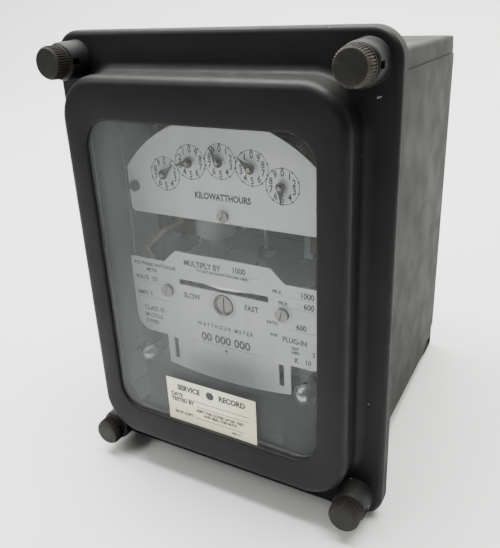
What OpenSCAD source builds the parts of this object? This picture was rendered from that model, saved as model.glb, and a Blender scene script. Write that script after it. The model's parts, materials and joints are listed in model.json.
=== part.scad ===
// Draw-out case watthour meter: five-pointer register, one disc, two stators.
// Millimetres. Origin at the centre of the panel face: -Y is the front of the meter,
// +Y goes into the panel and +Z is up.

/* [Case] */
// Width of the front flange
flange_w = 168; // [160:1:176]
// Height of the front flange
flange_h = 228; // [224:1:240]
// Corner radius of the front flange
flange_r = 13; // [9:1:16]
// Thickness of the steel frame behind the cover flange
frame_t = 4.5; // [4:0.5:6]
// Width of the case body over its side sheets
body_w = 141; // [139:0.5:143]
// Top of the case body above the centre
body_top = 102; // [100:0.5:104]
// Bottom of the case body below the centre
body_bottom = 98; // [98:0.5:100]
// Depth of the case behind the panel
body_depth = 150; // [148:1:170]

/* [Cover] */
// Distance from the panel face to the front of the bezel
bezel_front = 24; // [23:0.5:26]
// Width of the raised bezel
bezel_w = 141; // [137:0.5:142]
// Height of the raised bezel
bezel_h = 192; // [188:0.5:194]
// Corner radius of the raised bezel
bezel_r = 21; // [18:1:24]
// Width of the window opening
window_w = 114; // [108:1:116]
// Height of the window opening
window_h = 154; // [148:1:156]
// Corner radius of the window opening
window_r = 13; // [8:1:15]
// Half the distance between the cover studs, across
stud_x = 71; // [70:0.5:72]
// Half the distance between the cover studs, up and down
stud_z = 101; // [100:0.5:102]

/* [Register] */
// Distance between neighbouring pointer shafts
dial_pitch = 16.5; // [16.5:0.5:16.5]
// Height of the middle dial above the centre
dial_top = 56.5; // [56:0.5:57]
// Teeth on each pointer pinion; the wheel that it drives has ten times as many
pinion_teeth = 8; // [8:1:8]

/* [Meter] */
// Radius of the aluminium disc
disc_r = 45; // [42:0.5:45]
// Height of the disc's middle, measured from the centre
disc_z = -6; // [-6.5:0.5:-6]
// Distance from the panel face back to the disc's shaft
shaft_y = 41; // [41:0.5:42]
// Terminals in each of the two rows on the back
terminals_across = 5; // [3:1:5]

/* [Hidden] */
$fn = 48;
sheet_t = 1.5;
gap = 0.05;                       // radial clearance of a running fit
flange_front = 7.5;               // the cover flange's front face is this far before the panel face
window_mid = -0.5;                // height of the window's centre
boss_r = 8.7;
boss_top_r = 8.1;
boss_bore_r = 4.6;
boss_front = 19.5;
nut_r = 7.5;
nut_front = 26.5;
stud_r = 3;
stud_front = 24.5;
panel_stud_r = 2.4;
panel_root_r = 3.2;
panel_stud_x = 77.25;
panel_stud_z = 80;
panel_stud_len = 16;
seal_y = -16.7;                   // the seal wire's hole crosses each boss here
seal_hole = [3.4, 2.8];
seal_wire_r = 0.8;
gasket_size = [149, 206];         // rubber ring between the cover's flange and the frame
gasket_r = 8;
gasket_w = 3;
gasket_t = 1.5;
glass_lap = 3.5;                  // how far the glass runs past the window opening
side_t = 1;
seam_z = 92;                      // the side sheets stop short of the top
turn_h = 16;                      // height of the turned flanges under the side sheets
clip_y = 26;                      // cut-off rear corner of the side sheets, along and up
clip_h = 12;
lip_y = 34;                       // length and drop of the rear foot's lip
lip_drop = 5;
foot_y = 14;                      // depth of the foot's flat bottom
back_y = body_depth - 3;
inner_w = body_w - 2 * side_t - 2 * sheet_t;
glass_t = 3;
glass_front = bezel_front - sheet_t;
cradle_half_w = 65;
cradle_front = 8;
cradle_back = 110;
cradle_floor = -58;
cradle_top = 94;
frame_back = 100;
dial_face = -0.5;
arch_r = 69;                       // radius and height of the middle of the dial plate's arched top
arch_mid = 7.4;
plate_t = 0.8;
name_face = -5.7;
register_back = 21;
register_t = 1.5;
arbor_r = 0.8;
layer_front = 4;
layer_pitch = 3.2;
wheel_t = 1.2;
pinion_t = 1.8;
tooth_share = 0.36;
// Drop of each outward chord of the dial arc, from the middle dial to its neighbour and on
chord_drop = [5.6, 24.5];
dial_near = [dial_pitch * cos(chord_drop[0]), -dial_pitch * sin(chord_drop[0])];
dial_far = dial_near + [dial_pitch * cos(chord_drop[1]), -dial_pitch * sin(chord_drop[1])];
mid = [0, dial_top];
DIALS = [mid + [-dial_far[0], dial_far[1]], mid + [-dial_near[0], dial_near[1]], mid,
    mid + dial_near, mid + dial_far];
// Each pointer's reading, and +1 for a dial numbered clockwise or -1 for one numbered the other way
READINGS = [1.4, 2.8, 9.1, 1.4, 5.0];
SENSES = [1, -1, 1, -1, 1];
pointer_module = 2 * dial_pitch / (11 * pinion_teeth);
// The units wheel and its driving pinion
units_module = 0.5;
units_teeth = 60;
drive_teeth = 30;
// The worm and its wheel
worm_module = 0.4;
worm_teeth = 50;
worm_r = 2.5;
worm_wave = 0.35;
worm_wheel_r = worm_module * worm_teeth / 2;
drive_x = worm_wheel_r + worm_r;
drive_rise = sqrt(pow(units_module * (units_teeth + drive_teeth) / 2, 2) - pow(DIALS[4][0] - drive_x, 2));
drive_at = [drive_x, DIALS[4][1] - drive_rise];
plug_screw_at = [45.2, -49.2];
plug_top = -61;                   // the plug passes under the nameplate, between its two raised ends
name_screw_at = [32.5, -12];
adjuster_z = -14.2;
adjuster_r = 5.5;
dial_screws_at = [[-50.6, 40.2], [50.6, 40.2], [0, 30.2]];
contact_xs = [for (i = [0:9]) -54 + 12 * i];
terminal_pitch = 22;
terminal_zs = [-91, -77];
terminal_r = 2.6;                 // the studs are a little thicker inside their nuts
terminal_gap_r = 4;               // the steel clears each terminal stud by this radius
terminal_front = 124;
washer_t = 1;
nut_t = 4;
stator_x = 42;
lap = 1;                          // how far a cut runs past the face that it opens
shaft_r = 1.2;
disc_t = 1.2;
drive_arbor_r = 1;
screw_r = 1.5;
dial_screw_r = 1.2;
knob_screw_r = 2.5;
knob_at = [for (sx = [-1, 1]) [sx * plug_screw_at[0], plug_screw_at[1]]];
name_screws_at = [for (sx = [-1, 1]) [sx * name_screw_at[0], name_screw_at[1]]];
shelf_t = 2;                      // thickness of the cradle's shelves, back and sill
plug_half_w = 58;
plug_t = 14;                      // depth of the plug's body behind the panel face
tongue = [-81, -75];              // bottom and top of the plug's contact tongue
tongue_back = 52;
contact_w = 5;
contact_t = 1.4;
block_half_w = 60;
lower_step_z = -84;               // top of the terminal block's front step, under the contacts
cradle_block_z = [-72, cradle_floor - shelf_t];
core_half_d = 10;                 // half the depth of the stators' cores, front to back
coil_half_d = 14;

// ---------- shared shapes ----------

// Rectangle with round corners, built of squares and circles
module rounded_rect(w, h, r) {
    square([w - 2 * r, h], center = true);
    square([w, h - 2 * r], center = true);
    for (sx = [-1, 1], sz = [-1, 1])
        translate([sx * (w / 2 - r), sz * (h / 2 - r)]) circle(r);
}

// Extrudes a shape drawn in X and Z from depth y0 to depth y1
module along_y(y0, y1) {
    translate([0, y1, 0]) rotate([90, 0, 0]) linear_extrude(y1 - y0) children();
}

// Extrudes a shape drawn in Y and Z from x0 to x1
module along_x(x0, x1) {
    translate([x0, 0, 0]) rotate([90, 0, 90]) linear_extrude(x1 - x0) children();
}

module rod_y(at, r, y0, y1) {
    translate([at[0], y1, at[1]]) rotate([90, 0, 0]) cylinder(h = y1 - y0, r = r);
}

module block(x, y, z) {
    translate([x[0], y[0], z[0]]) cube([x[1] - x[0], y[1] - y[0], z[1] - z[0]]);
}

module ring(w, h, r, border, inner_r) {
    difference() {
        rounded_rect(w, h, r);
        rounded_rect(w - 2 * border, h - 2 * border, inner_r);
    }
}

module both_sides() {
    children();
    mirror([1, 0, 0]) children();
}

// Straight-sided gear outline with its first tooth on the +X axis
function gear_outline(teeth, size, share) = [
    for (i = [0:teeth - 1], k = [-2, -1, 1, 2])
        let (
            half = share * 180 / teeth,
            r = size * teeth / 2 + (abs(k) == 1 ? size : -1.25 * size),
            a = i * 360 / teeth + sign(k) * half * (abs(k) == 1 ? 0.5 : 1.35)
        ) [r * cos(a), r * sin(a)]];

module gear(at, teeth, size, turn, y0, y1) {
    translate([at[0], 0, at[1]]) along_y(y0, y1) rotate(turn)
        polygon(gear_outline(teeth, size, tooth_share));
}

// Angle, in the X and Z plane, from one point to another
function heading(a, b) = atan2(b[1] - a[1], b[0] - a[0]);

// ---------- case ----------

module case_frame() {
    color("dimgray") difference() {
        along_y(-frame_t, 0) rounded_rect(flange_w, flange_h, flange_r);
        block([-body_w / 2, body_w / 2], [-frame_t - 1, 1], [-body_bottom, body_top]);
        for (sx = [-1, 1], sz = [-1, 1])
            rod_y([sx * panel_stud_x, sz * panel_stud_z], panel_root_r, -frame_t - 1, 1);
    }
}

// Outline of the wrapper's top, with its edges turned down inside the side sheets
module turned_edge_outline() {
    half = body_w / 2 - side_t;
    bend = 2.5;
    difference() {
        union() {
            translate([-half, -turn_h]) square([2 * half, turn_h - bend]);
            translate([-half + bend, -turn_h]) square([2 * (half - bend), turn_h]);
            for (sx = [-1, 1]) translate([sx * (half - bend), -bend]) circle(bend);
        }
        translate([-half + sheet_t, -turn_h - 1]) square([2 * (half - sheet_t), turn_h + 1 - sheet_t]);
    }
}

module terminal_holes(y0, y1, r) {
    for (i = [0:terminals_across - 1], z = terminal_zs)
        rod_y([(i - (terminals_across - 1) / 2) * terminal_pitch, z], r, y0, y1);
}

module case_body() {
    color("dimgray") difference() {
        union() {
            along_y(-frame_t, back_y) translate([0, body_top]) turned_edge_outline();
            along_y(-frame_t, back_y) translate([0, -body_bottom]) mirror([0, 1]) turned_edge_outline();
            block([side_t - body_w / 2, body_w / 2 - side_t], [back_y, back_y + sheet_t],
                [-body_bottom, body_top]);
        }
        terminal_holes(back_y - 1, body_depth, terminal_gap_r);
        rear_corner_waste(3);
    }
}

// What is cut from the wrapper's top rear edge to round it
module rear_corner_waste(r) {
    half = body_w / 2;
    translate([0, back_y + sheet_t - r, body_top - r]) along_x(-half, half) difference() {
        square(r + 1);
        circle(r);
    }
}

// Side sheet, with its bottom rear corner cut off
module case_side() {
    rear = back_y + sheet_t;
    color("dimgray") along_x(body_w / 2 - side_t, body_w / 2)
        polygon([[-frame_t, seam_z], [rear, seam_z], [rear, -body_bottom + clip_h], [rear - clip_y, -body_bottom],
            [-frame_t, -body_bottom]]);
}

// Back plate, with a lip bent forward under the body as a rear foot
module case_back() {
    foot_z = -body_bottom - lip_drop;
    half = body_w / 2 - side_t;
    color("dimgray") difference() {
        union() {
            block([-half, half], [back_y + sheet_t, body_depth], [foot_z, body_top - 4]);
            along_x(-half, half)
                polygon([[body_depth, foot_z], [body_depth - foot_y, foot_z], [body_depth - lip_y, -body_bottom],
                    [body_depth - lip_y + 6, -body_bottom], [body_depth - foot_y, foot_z + sheet_t],
                    [body_depth, foot_z + sheet_t]]);
        }
        terminal_holes(back_y, body_depth + 1, terminal_gap_r);
    }
}

module cover_studs() {
    color("silver") for (sx = [-1, 1], sz = [-1, 1]) difference() {
        rod_y([sx * stud_x, sz * stud_z], stud_r, -stud_front, -frame_t);
        translate([sx * stud_x, seal_y, sz * stud_z]) rotate([0, 90, 0])
            cylinder(h = 4 * stud_r, r = seal_wire_r, center = true);
    }
}

module panel_studs() {
    color("silver") for (sx = [-1, 1], sz = [-1, 1]) union() {
        rod_y([sx * panel_stud_x, sz * panel_stud_z], panel_root_r, -frame_t, 0);
        rod_y([sx * panel_stud_x, sz * panel_stud_z], panel_stud_r, -frame_t / 2, panel_stud_len);
    }
}

module terminal_block() {
    color([0.1, 0.1, 0.1]) difference() {
        union() {
            block([-block_half_w, block_half_w], [60, back_y], [sheet_t - body_bottom, -70]);
            block([-block_half_w, block_half_w], [22, 60], [sheet_t - body_bottom, lower_step_z]);
        }
        terminal_holes(terminal_front, back_y + lap, terminal_r);
    }
}

module case_contacts() {
    color("goldenrod") for (x = contact_xs)
        block([x - 3, x + 3], [23, 60], [lower_step_z, lower_step_z + contact_t]);
}

module terminal_studs() {
    color("silver") union() {
        terminal_holes(terminal_front, body_depth + washer_t + nut_t, terminal_r);
        terminal_holes(terminal_front + 1, body_depth + 22, panel_stud_r);
    }
}

module terminal_nuts() {
    color("silver") for (i = [0:terminals_across - 1], z = terminal_zs) {
        x = (i - (terminals_across - 1) / 2) * terminal_pitch;
        difference() {
            union() {
                translate([x, body_depth + washer_t + nut_t, z]) rotate([90, 0, 0])
                    cylinder(h = nut_t, r = 4.7, $fn = 6);
                rod_y([x, z], 5.2, body_depth, body_depth + washer_t);
            }
            rod_y([x, z], terminal_r, body_depth - 1, body_depth + washer_t + nut_t + 1);
        }
    }
}

module cradle_guides() {
    color("darkgray") both_sides()
        block([61, body_w / 2 - side_t], [5, 140], [cradle_floor - 5, cradle_floor - 2.3]);
}

// ---------- cover ----------

module bezel_hollow() {
    along_y(-bezel_front + sheet_t, 0) rounded_rect(bezel_w - 2 * sheet_t, bezel_h - 2 * sheet_t, bezel_r - sheet_t);
}

module gasket_ring(y0, y1) {
    along_y(y0, y1) ring(gasket_size[0], gasket_size[1], gasket_r, gasket_w, gasket_r - gasket_w);
}

module at_studs() {
    for (sx = [-1, 1], sz = [-1, 1]) translate([sx * stud_x, 0, sz * stud_z]) children();
}

module cover_flange() {
    color([0.13, 0.14, 0.14]) difference() {
        along_y(-flange_front, -frame_t) rounded_rect(flange_w, flange_h, flange_r);
        bezel_hollow();
        gasket_ring(-frame_t - gasket_t, 0);
        at_studs() rod_y([0, 0], boss_bore_r, -boss_front - 1, 0);
    }
}

module cover_bezel() {
    color([0.13, 0.14, 0.14]) difference() {
        along_y(-bezel_front, -flange_front) rounded_rect(bezel_w, bezel_h, bezel_r);
        bezel_hollow();
        along_y(-bezel_front - 1, 0) translate([0, window_mid]) rounded_rect(window_w, window_h, window_r);
    }
}

module seal_bosses() {
    color([0.13, 0.14, 0.14]) at_studs() difference() {
        translate([0, -flange_front, 0]) rotate([90, 0, 0])
            cylinder(h = boss_front - flange_front, r1 = boss_r, r2 = boss_top_r);
        rod_y([0, 0], boss_bore_r, -boss_front - 1, 0);
        translate([0, seal_y, 0]) cube([2 * boss_r + 2, seal_hole[0], seal_hole[1]], center = true);
    }
}

module cover_gasket() {
    color([0.05, 0.05, 0.05]) difference() {
        gasket_ring(-frame_t - gasket_t, -frame_t);
        bezel_hollow();
        at_studs() rod_y([0, 0], boss_bore_r, -boss_front, 0);
    }
}

module window_glass() {
    color([0.8, 0.9, 0.9, 0.35]) along_y(-glass_front, glass_t - glass_front)
        translate([0, window_mid]) rounded_rect(window_w + 2 * glass_lap, window_h + 2 * glass_lap, window_r);
}

module glass_gasket() {
    color([0.05, 0.05, 0.05]) along_y(-glass_front, glass_t - glass_front)
        translate([0, window_mid])
            ring(window_w + 2 * (glass_lap + gasket_w), window_h + 2 * (glass_lap + gasket_w),
                window_r + gasket_w, gasket_w, window_r);
}

module glass_retainer() {
    color("darkgray") along_y(glass_t - glass_front, glass_t + 1 - glass_front) difference() {
        rounded_rect(bezel_w - 2 * sheet_t, bezel_h - 2 * sheet_t, bezel_r - sheet_t);
        translate([0, window_mid]) rounded_rect(window_w + 2, window_h + 2, window_r);
    }
}

module date_label() {
    paper_t = 0.15;
    color("ivory") block([-26.4, 25.4], [-glass_front - paper_t, -glass_front], [-77.2, -52]);
}

// Thumb nut with a chamfered, fluted rim, a short neck inside the boss and a blind bore
module thumb_nut(sx, sz) {
    flutes = 36;
    height = nut_front - boss_front;
    chamfer = 1.2;
    neck = 1.5;
    color([0.16, 0.15, 0.13]) translate([sx * stud_x, -boss_front, sz * stud_z]) rotate([90, 0, 0]) difference() {
        union() {
            cylinder(h = height - chamfer, r = nut_r);
            translate([0, 0, height - chamfer]) cylinder(h = chamfer, r1 = nut_r, r2 = nut_r - 0.9);
            translate([0, 0, -neck]) cylinder(h = neck, r = boss_bore_r - 0.1);
        }
        for (i = [0:flutes - 1]) rotate(i * 360 / flutes) translate([nut_r, 0, 0.9])
            cylinder(h = height, r = 0.32, $fn = 16);
        translate([0, 0, -neck - 0.5]) cylinder(h = stud_front - boss_front + neck + 1, r = stud_r + gap);
    }
}

// ---------- connection plug ----------

module connection_plug() {
    color([0.2, 0.21, 0.22]) difference() {
        union() {
            block([-plug_half_w, plug_half_w], [0, plug_t], [-95.5, plug_top]);
            both_sides() block([38.5, plug_half_w], [0, plug_t], [plug_top - lap, -40.5]);
            block([-plug_half_w, plug_half_w], [plug_t, tongue_back], tongue);
        }
        for (at = knob_at) rod_y(at, knob_screw_r + gap, -lap, plug_t + lap);
        block([-30, 30], [-lap, 6], [-94, -86]);
    }
}

module plug_contacts() {
    color("goldenrod") for (x = contact_xs) difference() {
        block([x - contact_w / 2, x + contact_w / 2], [18, tongue_back + 1], tongue + [-1, 1]);
        block([x - contact_w, x + contact_w], [17, tongue_back], tongue);
    }
}

module plug_screw(sx) {
    at = [sx * plug_screw_at[0], plug_screw_at[1]];
    head_r = 5;
    neck_front = -8;
    color("silver") union() {
        rod_y(at, knob_screw_r, neck_front, 22);
        translate([at[0], neck_front, at[1]]) rotate([90, 0, 0]) intersection() {
            translate([0, 0, 2]) sphere(head_r);
            cylinder(h = 8, r = head_r);
        }
        rod_y(at, 4, neck_front, -0.3);
    }
}

// ---------- cradle ----------

module cradle() {
    half = cradle_half_w;
    sill = 16;
    low = cradle_floor - shelf_t;
    color("gray") difference() {
        union() {
            block([-half, half], [sill, cradle_back], [low, cradle_floor]);
            block([-half, half], [cradle_front, cradle_back], [cradle_top - shelf_t, cradle_top]);
            both_sides() block([half - sheet_t, half], [cradle_front, cradle_back], [low, cradle_top]);
            block([-half, half], [cradle_back - shelf_t, cradle_back], [low, cradle_top]);
            block([-half, half], [sill, sill + shelf_t], [cradle_floor, -38]);
            for (at = knob_at) rod_y(at, 5, sill + shelf_t, 24);
        }
        for (at = knob_at) rod_y(at, knob_screw_r + gap, sill - lap, 24 + lap);
        block([-half - lap, half + lap], [30, 96], [-20, 70]);
        block([-40, 40], [cradle_back - shelf_t - lap, cradle_back + lap], [-30, 70]);
        block([-45, 45], [30, 96], [cradle_top - shelf_t - lap, cradle_top + lap]);
    }
}

module cradle_block() {
    color([0.1, 0.1, 0.1]) block([-59, 59], [24, 60], cradle_block_z);
}

module cradle_contacts() {
    color("goldenrod") for (x = contact_xs)
        block([x - contact_w / 2, x + contact_w / 2], [25, 59], [cradle_block_z[0] - contact_t, cradle_block_z[0]]);
}

// ---------- meter ----------

module meter_frame() {
    color("silver") difference() {
        union() {
            block([-50, 50], [frame_back, frame_back + 6], [cradle_floor, 88]);
            block([-10, 10], [18, frame_back], [-50, -44]);
            block([-10, 10], [33, frame_back], [60, 66]);
            block([-36, 36], [18, 24], [-50, -44]);
            both_sides() {
                block([30, 35], [18, 24], [-44, -9]);
                rod_y(name_screw_at, 2.5, name_face + plate_t, 18);
                block([36, 48], [51, frame_back], [33, 39]);
                block([36, 48], [51, frame_back], [-37, -31]);
                rod_y([44, 72], 3, register_back + register_t, frame_back);
            }
            block([-5, 5], [18, 24], [-44, -10]);
        }
        rod_y([0, adjuster_z], screw_r + gap, 17, 25);
        for (at = name_screws_at) rod_y(at, screw_r, name_face, 4);
        for (z = [-55, 55]) translate([0, shaft_y, z]) cylinder(h = 15, r = 4);
        block([-30, 30], [frame_back - lap, frame_back + 7], [12, 56]);
    }
}

module on_stator_sides() {
    both_sides() translate([stator_x, shaft_y, 0]) children();
}

module voltage_cores() {
    color("slategray") on_stator_sides() difference() {
        block([-15, 15], [-core_half_d, core_half_d], [1, 40]);
        for (sx = [-1, 1]) translate([sx * 7, 0, 15]) cube([6, 2 * (core_half_d + lap), 34], center = true);
    }
}

module voltage_coils() {
    color([0.45, 0.12, 0.08]) on_stator_sides() difference() {
        block([-9.7, 9.7], [-coil_half_d, coil_half_d], [6, 30]);
        block([-4, 4], [-core_half_d, core_half_d], [6 - lap, 30 + lap]);
    }
}

module current_cores() {
    color("slategray") on_stator_sides() difference() {
        block([-12, 12], [-core_half_d, core_half_d], [-38, -9]);
        block([-5, 5], [-core_half_d - lap, core_half_d + lap], [-30, -9 + lap]);
    }
}

module current_coils() {
    coil = [15.4, 29, 15];
    color([0.72, 0.42, 0.2]) on_stator_sides() for (sx = [-1, 1])
        translate([sx * 8.5, 0, -20.5]) difference() {
            cube(coil, center = true);
            cube([7, 2 * core_half_d, coil[2] + lap], center = true);
        }
}

// Rear magnet, a yoke whose two poles have the disc's edge between them
module brake_magnets() {
    half = 16;
    tip_y = 60;
    pole_t = 12;
    air = 3.5;
    color("dimgray") {
        for (side = [-1, 1])
            translate([0, (tip_y + frame_back) / 2, disc_z + side * (air + pole_t / 2)])
                cube([2 * half, frame_back - tip_y, pole_t], center = true);
        block([-half, half], [disc_r + shaft_y + 2, frame_back], [disc_z - air, disc_z + air]);
    }
}

// Front magnet: a round pole above the disc, on a neck under the register, and its keeper below the disc
module drag_magnet() {
    pole_at = [-6.5, 15];
    pole_r = 14;
    hanger_at = [-13, 12];
    air = 1.1;
    color("gray") {
        translate([pole_at[0], pole_at[1], disc_z + air]) cylinder(h = 6.1, r = pole_r);
        translate([hanger_at[0], hanger_at[1], disc_z + air + 6]) cylinder(h = 17, r = 4.5);
        translate([hanger_at[0], hanger_at[1], 16]) cylinder(h = 12, r = 9.8);
    }
    color("gray") translate([pole_at[0], pole_at[1], disc_z - 4]) cylinder(h = 4 - air, r = pole_r);
}

// Bearing cup with a hole for the shaft, opening upwards or downwards
module bearing(z0, z1, hole) {
    translate([0, shaft_y, 0]) difference() {
        translate([0, 0, z0]) cylinder(h = z1 - z0, r = 4);
        translate([0, 0, hole[0]]) cylinder(h = hole[1] - hole[0], r = shaft_r + gap);
    }
}

module shaft_bearings() {
    color("goldenrod") {
        bearing(57, 69, [56, 66]);
        bearing(-53, -42, [-50, -41]);
    }
}

// ---------- register ----------

// Arched outline shared by the dial plate and the register's front plate
module arch_outline(half_w, low, corner) {
    high = arch_mid + arch_r + 10;
    intersection() {
        translate([0, (low + high) / 2]) rounded_rect(2 * half_w, high - low, corner);
        translate([0, arch_mid]) circle(arch_r, $fn = 180);
    }
}

module dial_plate() {
    color("lightgray") along_y(dial_face, dial_face + plate_t) difference() {
        arch_outline(54.7, 26.7, 3);
        for (d = DIALS) translate(d) circle(1.2);
        for (s = dial_screws_at) translate(s) circle(dial_screw_r);
    }
}

module register_plates() {
    front = dial_face + plate_t;
    color("goldenrod") {
        along_y(front, front + register_t) difference() {
            arch_outline(53, 28, 3);
            for (d = DIALS) translate(d) circle(arbor_r + gap);
            for (s = dial_screws_at) translate(s) circle(dial_screw_r);
            translate(drive_at) circle(drive_arbor_r + gap);
        }
        along_y(register_back, register_back + register_t) difference() {
            translate([0, 53]) rounded_rect(102, 48, 4);
            for (d = DIALS) translate(d) circle(arbor_r + gap);
            translate(drive_at) circle(drive_arbor_r + gap);
        }
    }
}

module register_pillars() {
    front = dial_face + plate_t + register_t;
    color("goldenrod") for (at = [[-47.5, 32.5], [47.5, 32.5], [-27, 69], [27, 69]])
        rod_y(at, screw_r, front, register_back);
}

module slotted_head(at, r, y0, t, slot_turn) {
    difference() {
        rod_y(at, r, y0, y0 + t);
        translate([at[0], y0, at[1]]) rotate([0, slot_turn, 0]) cube([0.7, 1.4, 2 * r + 1], center = true);
    }
}

module dial_screws() {
    color("silver") for (s = dial_screws_at) union() {
        slotted_head(s, 2.8, dial_face - 1.6, 1.6, 25);
        rod_y(s, dial_screw_r, dial_face - 0.8, dial_face + plate_t + register_t);
    }
}

module nameplate_outline() {
    difference() {
        union() {
            translate([0, -13.7]) square([110, 34.4], center = true);
            translate([0, -17.7]) square([110 - 18, 42.4], center = true);
            for (sx = [-1, 1]) translate([sx * 46, -30]) circle(9);
            polygon([[-34, 3.4], [-26.5, 10.3], [26.5, 10.3], [34, 3.4]]);
            translate([-36, -55.5]) square([72, 18]);
            intersection() {
                translate([0, 158.2]) circle(216.8, $fn = 360);
                translate([-36, -60]) square([72, 6]);
            }
        }
        translate([0, disc_z]) square([50.6, 3.2], center = true);
        for (sx = [-1, 1]) {
            translate([sx * 31, -46]) square([2.9, 12.5], center = true);
            translate([sx * name_screw_at[0], name_screw_at[1]]) circle(screw_r);
        }
        translate([0, adjuster_z]) circle(adjuster_r + 0.3);
        translate([0, -40.4]) circle(0.9);
    }
}

module nameplate() {
    color("lightgray") along_y(name_face, name_face + plate_t) nameplate_outline();
}

module nameplate_screws() {
    color("silver") for (at = name_screws_at) union() {
        slotted_head(at, 3.3, name_face - 2, 2, 15);
        rod_y(at, screw_r, name_face - 1, 3.5);
    }
}

// Dished adjuster with a slot across its floor
module load_adjuster() {
    dish = 1.5;
    color("silver") difference() {
        union() {
            rod_y([0, adjuster_z], adjuster_r, name_face - 0.8, name_face + 2.4);
            rod_y([0, adjuster_z], screw_r, name_face + 2, 23.5);
        }
        translate([0, name_face - 0.8, adjuster_z]) rotate([-90, 0, 0])
            cylinder(h = dish, r1 = adjuster_r - 0.3, r2 = adjuster_r - 1.4);
        translate([0, name_face - 0.8 + dish, adjuster_z]) cube([0.9, 1.4, 2 * adjuster_r - 2.8], center = true);
    }
}

// Wire of straight runs with a round sleeve at each elbow
module wire(path, r) {
    for (i = [0:len(path) - 2]) {
        a = path[i];
        b = path[i + 1];
        v = b - a;
        translate(a) rotate([0, acos(v[2] / norm(v)), atan2(v[1], v[0])]) cylinder(h = norm(v), r = r, $fn = 16);
        if (i > 0) translate(a) sphere(1.15 * r, $fn = 24);
    }
}

module coil_leads() {
    color([0.75, 0.68, 0.45]) both_sides() {
        wire([[45, 55, 20], [45, 61, 20], [60.5, 66, 8], [60.5, 66, cradle_floor]], 1.2);
        wire([[40, 55, 20], [40, 66, 20], [60.5, 72, 4], [60.5, 72, cradle_floor]], 1.2);
        wire([[50, 55.5, -20], [50, 60, -20], [56, 62, -30], [56, 62, cradle_floor]], 1.6);
        wire([[44, 26.4, 14], [45.5, 12, 13], [57.5, 10, 1.5], [54, 16, -14], [50, 25.8, -18]], 1.3);
    }
}

// ---------- moving parts of the meter ----------

module meter_disc() {
    color("gainsboro") translate([0, shaft_y, disc_z - disc_t / 2]) difference() {
        cylinder(h = disc_t, r = disc_r, $fn = 120);
        translate([0, 0, -lap]) cylinder(h = disc_t + 2 * lap, r = 3);
        for (a = [0, 180]) rotate(a) translate([22, 0, -lap]) cylinder(h = disc_t + 2 * lap, r = 1.5);
    }
}

module disc_shaft() {
    turns = 5;
    color("silver") translate([0, shaft_y, 0]) union() {
        translate([0, 0, -49]) cylinder(h = 113, r = shaft_r);
        translate([0, 0, disc_z - disc_t / 2]) cylinder(h = disc_t, r = 3);
        translate([0, 0, disc_z + disc_t / 2]) cylinder(h = 4, r = 4.5);
        translate([0, 0, disc_z - disc_t / 2 - 3]) cylinder(h = 3, r = 4.5);
        translate([0, 0, drive_at[1] - turns * PI * worm_module / 2])
            linear_extrude(height = turns * PI * worm_module, twist = -360 * turns, slices = 10 * turns)
                rotate(180) translate([worm_wave, 0]) circle(worm_r, $fn = 14);
    }
}

module worm_gear() {
    half_t = 0.8;
    color("goldenrod") union() {
        rod_y(drive_at, drive_arbor_r, dial_face + plate_t + 0.3, shaft_y + 2);
        gear(drive_at, worm_teeth, worm_module, 180 / worm_teeth, shaft_y - half_t, shaft_y + half_t);
        gear(drive_at, drive_teeth, units_module, heading(drive_at, DIALS[4]) + 180 / drive_teeth,
            layer_front + 4 * layer_pitch - 0.3, layer_front + 4 * layer_pitch + 1.5);
    }
}

// Pointer shaft i, counted from the slowest: its wheel meshes with the next shaft's pinion
module gear_arbor(i) {
    at = DIALS[i];
    wheel_y = layer_front + i * layer_pitch;
    color("goldenrod") union() {
        rod_y(at, arbor_r, -4.4, register_back + register_t + 0.8);
        if (i < 4)
            gear(at, 10 * pinion_teeth, pointer_module, heading(at, DIALS[i + 1]), wheel_y, wheel_y + wheel_t);
        else
            gear(at, units_teeth, units_module, heading(at, drive_at), wheel_y, wheel_y + wheel_t);
        if (i > 0)
            gear(at, pinion_teeth, pointer_module, heading(at, DIALS[i - 1]) + 180 / pinion_teeth,
                wheel_y - layer_pitch - 0.3, wheel_y - layer_pitch - 0.3 + pinion_t);
    }
}

module pointer(i) {
    turn = SENSES[i] * READINGS[i] * 36;
    color([0.1, 0.11, 0.12]) translate([DIALS[i][0], 0, DIALS[i][1]]) rotate([0, turn, 0]) difference() {
        union() {
            along_y(-3.2, -2.6) {
                circle(2.2);
                polygon([[-1.7, 1.3], [-0.7, 4], [-0.25, 7.8], [0.25, 7.8], [0.7, 4], [1.7, 1.3]]);
            }
            along_y(-3.9, -1.8) circle(1.4);
        }
        along_y(-5, 0) circle(arbor_r);
    }
}

case_frame();
case_body();
mirror([1, 0, 0]) case_side();  // case_side_left
case_side();  // case_side_right
case_back();
cover_studs();
panel_studs();
terminal_block();
case_contacts();
terminal_studs();
terminal_nuts();
cradle_guides();
cover_flange();
cover_bezel();
seal_bosses();
cover_gasket();
window_glass();
glass_gasket();
glass_retainer();
date_label();
thumb_nut(-1, 1);  // thumb_nut_top_left
thumb_nut(1, 1);  // thumb_nut_top_right
thumb_nut(-1, -1);  // thumb_nut_bottom_left
thumb_nut(1, -1);  // thumb_nut_bottom_right
connection_plug();
plug_contacts();
plug_screw(-1);  // plug_screw_left
plug_screw(1);  // plug_screw_right
cradle();
cradle_block();
cradle_contacts();
meter_frame();
voltage_cores();
voltage_coils();
current_cores();
current_coils();
brake_magnets();
drag_magnet();
shaft_bearings();
register_plates();
register_pillars();
dial_plate();
dial_screws();
nameplate();
nameplate_screws();
load_adjuster();
coil_leads();
meter_disc();
disc_shaft();
worm_gear();
gear_arbor(0);  // gear_arbor_1
gear_arbor(1);  // gear_arbor_2
gear_arbor(2);  // gear_arbor_3
gear_arbor(3);  // gear_arbor_4
gear_arbor(4);  // gear_arbor_5
pointer(0);  // pointer_1
pointer(1);  // pointer_2
pointer(2);  // pointer_3
pointer(3);  // pointer_4
pointer(4);  // pointer_5
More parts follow.
